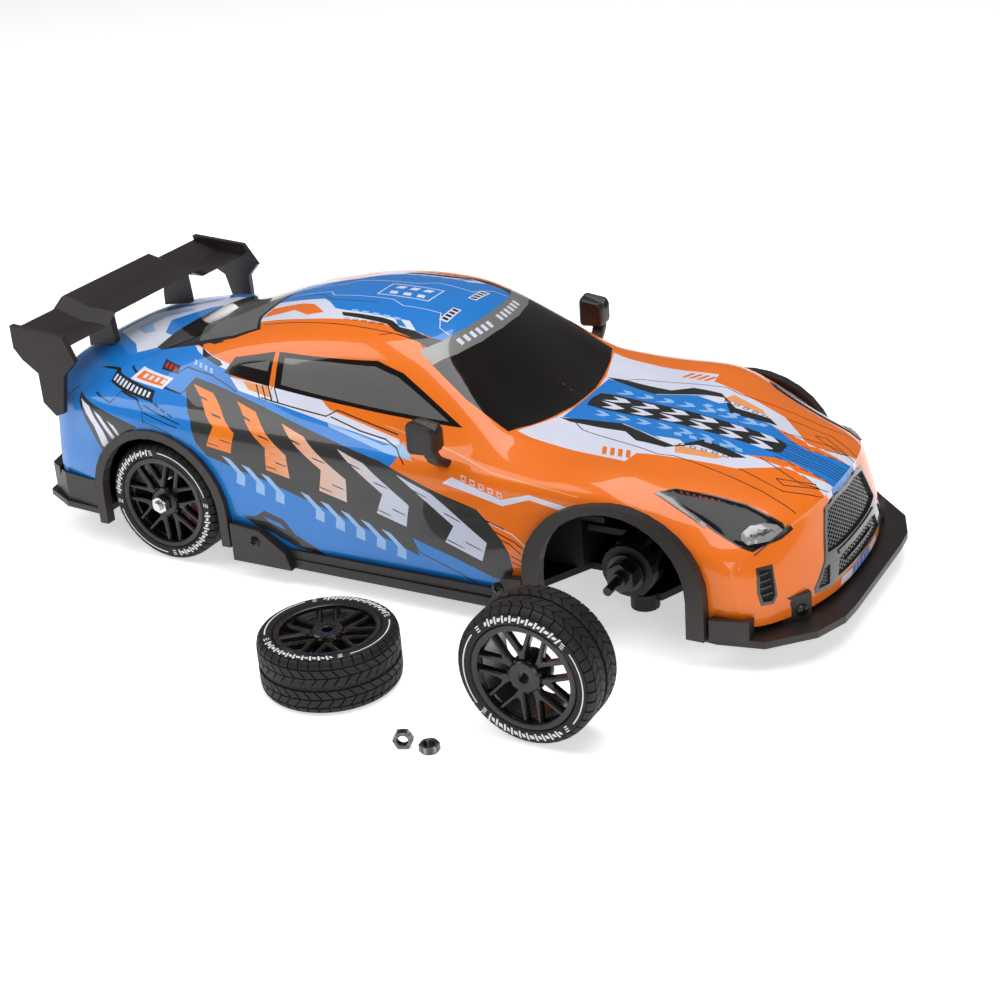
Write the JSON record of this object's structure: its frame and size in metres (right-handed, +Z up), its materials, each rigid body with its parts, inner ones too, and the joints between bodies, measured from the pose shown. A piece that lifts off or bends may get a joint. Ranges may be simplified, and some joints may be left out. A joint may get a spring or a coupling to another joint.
{
  "type": "rc drift car",
  "caption": "Radio-controlled drift coupe with a printed shell, shaft drive, linked front steering, a removable wheel standing beside its hub and a spare wheel.",
  "frame": {"origin": "on the ground, at the middle of the footprint of the car and its loose pieces", "axes": "+X toward the nose, +Y toward the left side of the car, +Z up"},
  "size_m": [0.3042, 0.2006, 0.0884],
  "materials": {
    "paint": "printed thermoformed shell under a glossy clear film, orange with blue, white and black graphics",
    "trim": "satin brown-black moulded plastic",
    "nylon": "matte black filled nylon",
    "rim": "satin black moulded plastic",
    "tyre": "matte black rubber with white sidewall marks",
    "steel": "bright turned steel",
    "gunmetal": "dark nickel",
    "wrap": "blue heat-shrink sleeve",
    "board": "green circuit board under a clear cover",
    "plate": "brushed plate"
  },
  "bodies": {
    "car": {"body_shell": "paint", "front_splitter": "trim", "rear_diffuser": "trim", "front_arch_trim_right": "trim", "front_arch_trim_left": "trim", "rear_arch_trim_right": "trim", "rear_arch_trim_left": "trim", "side_skirt_right": "trim", "side_skirt_left": "trim", "wing": "trim", "wing_strut_right": "trim", "wing_strut_left": "trim", "mirror_right": "trim", "mirror_left": "trim", "chassis_tray": "nylon", "battery_pack": "wrap", "control_board": "board", "motor": "steel", "motor_mount": "plate", "front_gearbox_case": "nylon", "rear_gearbox_case": "nylon", "rear_axle_tube_right": "nylon", "rear_axle_tube_left": "nylon", "front_upper_arm": "nylon", "kingpin_spring_right": "steel", "kingpin_spring_left": "steel", "steering_servo": "nylon"},
    "battery_door": {"battery_door": "nylon"},
    "power_switch": {"power_switch": "nylon"},
    "rear_wheels": {"rear_axle": "steel", "rim_rear_right": "rim", "tyre_rear_right": "tyre", "wheel_nut_rear_right": "steel", "rim_rear_left": "rim", "tyre_rear_left": "tyre", "wheel_nut_rear_left": "steel"},
    "centre_shaft": {"centre_shaft": "steel"},
    "motor_pinion": {"motor_pinion": "steel"},
    "front_spool": {"front_spool": "steel"},
    "dogbone_right": {"dogbone_right": "steel"},
    "dogbone_left": {"dogbone_left": "steel"},
    "kingpin_right": {"kingpin_right": "steel"},
    "kingpin_left": {"kingpin_left": "steel"},
    "knuckle_right": {"knuckle_right": "nylon"},
    "knuckle_left": {"knuckle_left": "nylon"},
    "front_axle_right": {"front_axle_right": "steel"},
    "front_wheel_left": {"front_axle_left": "steel", "rim_front_left": "rim", "tyre_front_left": "tyre", "wheel_nut_front_left": "steel"},
    "front_wheel_right": {"rim_front_right": "rim", "tyre_front_right": "tyre"},
    "servo_horn": {"servo_horn": "nylon"},
    "steering_link": {"steering_link": "nylon"},
    "spare_wheel": {"rim_spare": "rim", "tyre_spare": "tyre"},
    "loose_nut_one": {"loose_nut_one": "gunmetal"},
    "loose_nut_two": {"loose_nut_two": "gunmetal"}
  },
  "joints": [
    {"name": "drive", "type": "hinge", "parent": "car", "child": "rear_wheels", "pos_m": [-0.088, 0.03551, 0.02225], "axis": [0, 1, 0], "continuous": true},
    {"name": "centre_shaft_spin", "type": "hinge", "parent": "car", "child": "centre_shaft", "pos_m": [-0.0011, 0.03551, 0.02225], "axis": [1, 0, 0], "continuous": true},
    {"name": "motor_spin", "type": "hinge", "parent": "car", "child": "motor_pinion", "pos_m": [-0.0011, 0.05051, 0.02225], "axis": [1, 0, 0], "continuous": true},
    {"name": "front_spool_spin", "type": "hinge", "parent": "car", "child": "front_spool", "pos_m": [0.0858, 0.03551, 0.02225], "axis": [0, 1, 0], "continuous": true},
    {"name": "dogbone_right_spin", "type": "hinge", "parent": "car", "child": "dogbone_right", "pos_m": [0.0858, 0.01052, 0.02225], "axis": [0, 1, 0], "continuous": true},
    {"name": "dogbone_left_spin", "type": "hinge", "parent": "car", "child": "dogbone_left", "pos_m": [0.0858, 0.06051, 0.02225], "axis": [0, 1, 0], "continuous": true},
    {"name": "suspension_right", "type": "slide", "parent": "car", "child": "kingpin_right", "axis": [0, 0, 1], "range_m": [0, 0.0012], "stiffness_N_per_m": 2500, "springref_m": -0.0016, "deforming": ["kingpin_spring_right"]},
    {"name": "suspension_left", "type": "slide", "parent": "car", "child": "kingpin_left", "axis": [0, 0, 1], "range_m": [0, 0.0012], "stiffness_N_per_m": 2500, "springref_m": -0.0016, "deforming": ["kingpin_spring_left"]},
    {"name": "steering", "type": "hinge", "parent": "kingpin_right", "child": "knuckle_right", "pos_m": [0.0858, 0.00002, 0.02225], "axis": [0, 0, 1], "range_deg": [-22, 22]},
    {"name": "steering_left", "type": "hinge", "parent": "kingpin_left", "child": "knuckle_left", "pos_m": [0.0858, 0.07101, 0.02225], "axis": [0, 0, 1], "range_deg": [-22, 22]},
    {"name": "servo_horn_turn", "type": "hinge", "parent": "car", "child": "servo_horn", "pos_m": [0.0538, 0.01351, 0.03], "axis": [0, 0, 1], "range_deg": [-22, 22]},
    {"name": "steering_link_slide", "type": "slide", "parent": "car", "child": "steering_link", "axis": [0, 1, 0], "range_m": [-0.0062, 0.0062]},
    {"name": "front_axle_right_spin", "type": "hinge", "parent": "knuckle_right", "child": "front_axle_right", "pos_m": [0.0858, -0.01448, 0.02225], "axis": [0, 1, 0], "continuous": true},
    {"name": "front_wheel_left_spin", "type": "hinge", "parent": "knuckle_left", "child": "front_wheel_left", "pos_m": [0.0858, 0.08551, 0.02225], "axis": [0, 1, 0], "continuous": true},
    {"name": "front_wheel_right_fit", "type": "slide", "parent": "front_axle_right", "child": "front_wheel_right", "axis": [0, 1, 0], "range_m": [0, 0.06]},
    {"name": "power_switch_slide", "type": "slide", "parent": "car", "child": "power_switch", "axis": [1, 0, 0], "range_m": [0, 0.003]},
    {"name": "battery_door_hinge", "type": "hinge", "parent": "car", "child": "battery_door", "pos_m": [-0.0271, -0.00119, 0.007], "axis": [1, 0, 0], "range_deg": [-80, 0]},
    {"name": "spare_wheel_lift", "type": "slide", "parent": "car", "child": "spare_wheel", "axis": [0, 0, 1], "range_m": [0, 0.04]},
    {"name": "loose_nut_one_lift", "type": "slide", "parent": "car", "child": "loose_nut_one", "axis": [0, 0, 1], "range_m": [0, 0.03]},
    {"name": "loose_nut_two_lift", "type": "slide", "parent": "car", "child": "loose_nut_two", "axis": [0, 0, 1], "range_m": [0, 0.03]}
  ],
  "couplings": [
    {"joint": "centre_shaft_spin", "follows": "drive", "ratio": 2.5},
    {"joint": "motor_spin", "follows": "drive", "ratio": -10},
    {"joint": "front_spool_spin", "follows": "drive", "ratio": 1},
    {"joint": "dogbone_right_spin", "follows": "drive", "ratio": 1},
    {"joint": "dogbone_left_spin", "follows": "drive", "ratio": 1},
    {"joint": "front_axle_right_spin", "follows": "drive", "ratio": 1},
    {"joint": "front_wheel_left_spin", "follows": "drive", "ratio": 1},
    {"joint": "steering_left", "follows": "steering", "ratio": 1},
    {"joint": "servo_horn_turn", "follows": "steering", "ratio": -1},
    {"joint": "steering_link_slide", "follows": "steering", "m_per_rad": -0.016}
  ]
}
